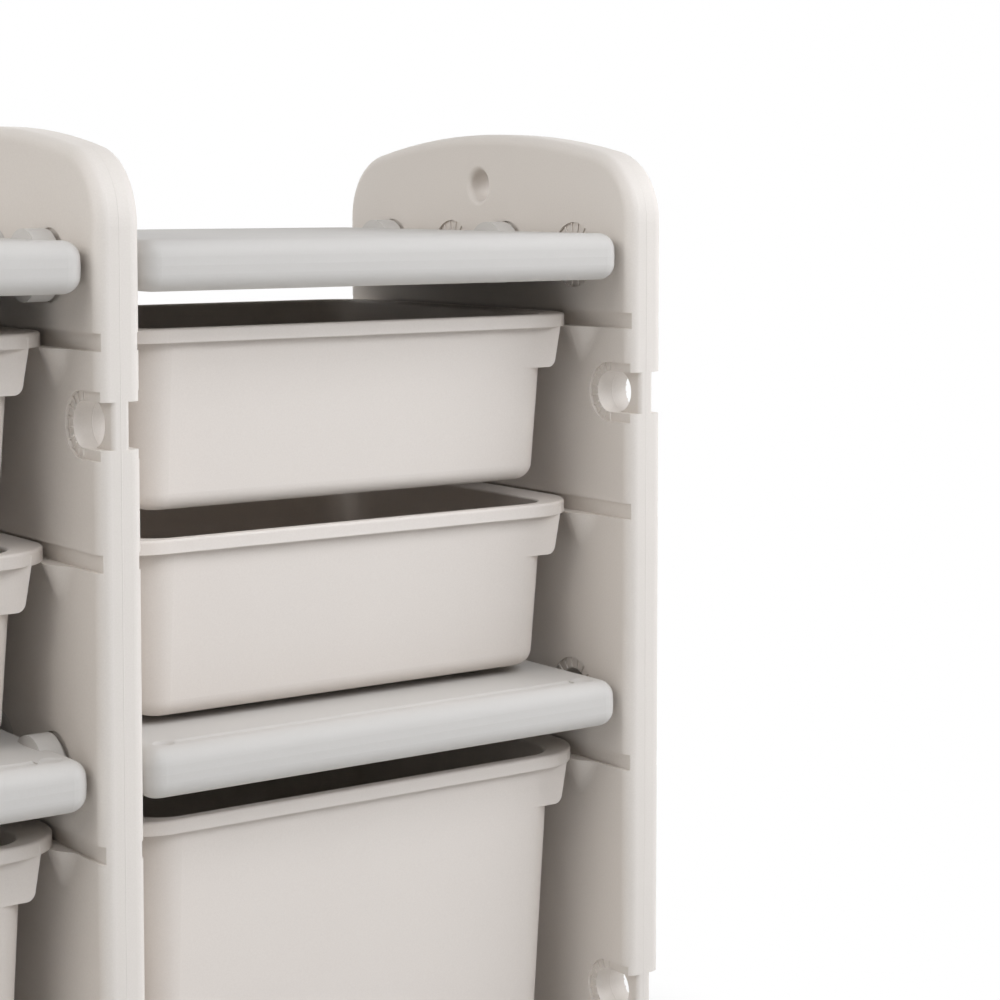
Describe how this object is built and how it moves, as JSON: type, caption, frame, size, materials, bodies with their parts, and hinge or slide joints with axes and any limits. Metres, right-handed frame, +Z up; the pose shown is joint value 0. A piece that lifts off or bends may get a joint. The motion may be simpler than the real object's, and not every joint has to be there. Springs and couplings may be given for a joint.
{
  "type": "toy storage cabinet",
  "caption": "Modular plastic toy cabinet: arched upright panels joined by bolted shelves, with open bins that slide out by rims running in grooves in the panels.",
  "frame": {"origin": "middle of the cabinet's footprint, on the floor", "axes": "+X along the cabinet to the right as one faces it, +Y from its open front to its back, +Z up"},
  "size_m": [0.86, 0.36, 0.798],
  "materials": {
    "panel_plastic": "warm white, fine matte grain",
    "shelf_plastic": "cool pale grey, satin",
    "bin_plastic": "warm pale grey, fine matte grain",
    "bolt_plastic": "cool pale grey, satin",
    "cap_plastic": "warm white, satin"
  },
  "bodies": {
    "frame": {"panel_left": "panel_plastic", "panel_middle": "panel_plastic", "panel_right": "panel_plastic", "shelf_bottom_left": "shelf_plastic", "shelf_bottom_right": "shelf_plastic", "shelf_middle_left": "shelf_plastic", "shelf_middle_right": "shelf_plastic", "shelf_top_left": "shelf_plastic", "shelf_top_right": "shelf_plastic", "shelf_bolts_left_panel": "bolt_plastic", "shelf_bolts_middle_panel": "bolt_plastic", "shelf_bolts_right_panel": "bolt_plastic", "socket_caps_left_panel": "cap_plastic", "socket_caps_right_panel": "cap_plastic"},
    "bin_upper_left": {"bin_upper_left": "bin_plastic"},
    "bin_upper_right": {"bin_upper_right": "bin_plastic"},
    "bin_lower_left": {"bin_lower_left": "bin_plastic"},
    "bin_lower_right": {"bin_lower_right": "bin_plastic"},
    "bin_large_left": {"bin_large_left": "bin_plastic"},
    "bin_large_right": {"bin_large_right": "bin_plastic"}
  },
  "joints": [
    {"name": "bin_upper_left_slide", "type": "slide", "parent": "frame", "child": "bin_upper_left", "axis": [0, -1, 0], "range_m": [0, 0.19]},
    {"name": "bin_upper_right_slide", "type": "slide", "parent": "frame", "child": "bin_upper_right", "axis": [0, -1, 0], "range_m": [0, 0.19]},
    {"name": "bin_lower_left_slide", "type": "slide", "parent": "frame", "child": "bin_lower_left", "axis": [0, -1, 0], "range_m": [0, 0.19]},
    {"name": "bin_lower_right_slide", "type": "slide", "parent": "frame", "child": "bin_lower_right", "axis": [0, -1, 0], "range_m": [0, 0.19]},
    {"name": "bin_large_left_slide", "type": "slide", "parent": "frame", "child": "bin_large_left", "axis": [0, -1, 0], "range_m": [0, 0.19]},
    {"name": "bin_large_right_slide", "type": "slide", "parent": "frame", "child": "bin_large_right", "axis": [0, -1, 0], "range_m": [0, 0.19]}
  ]
}
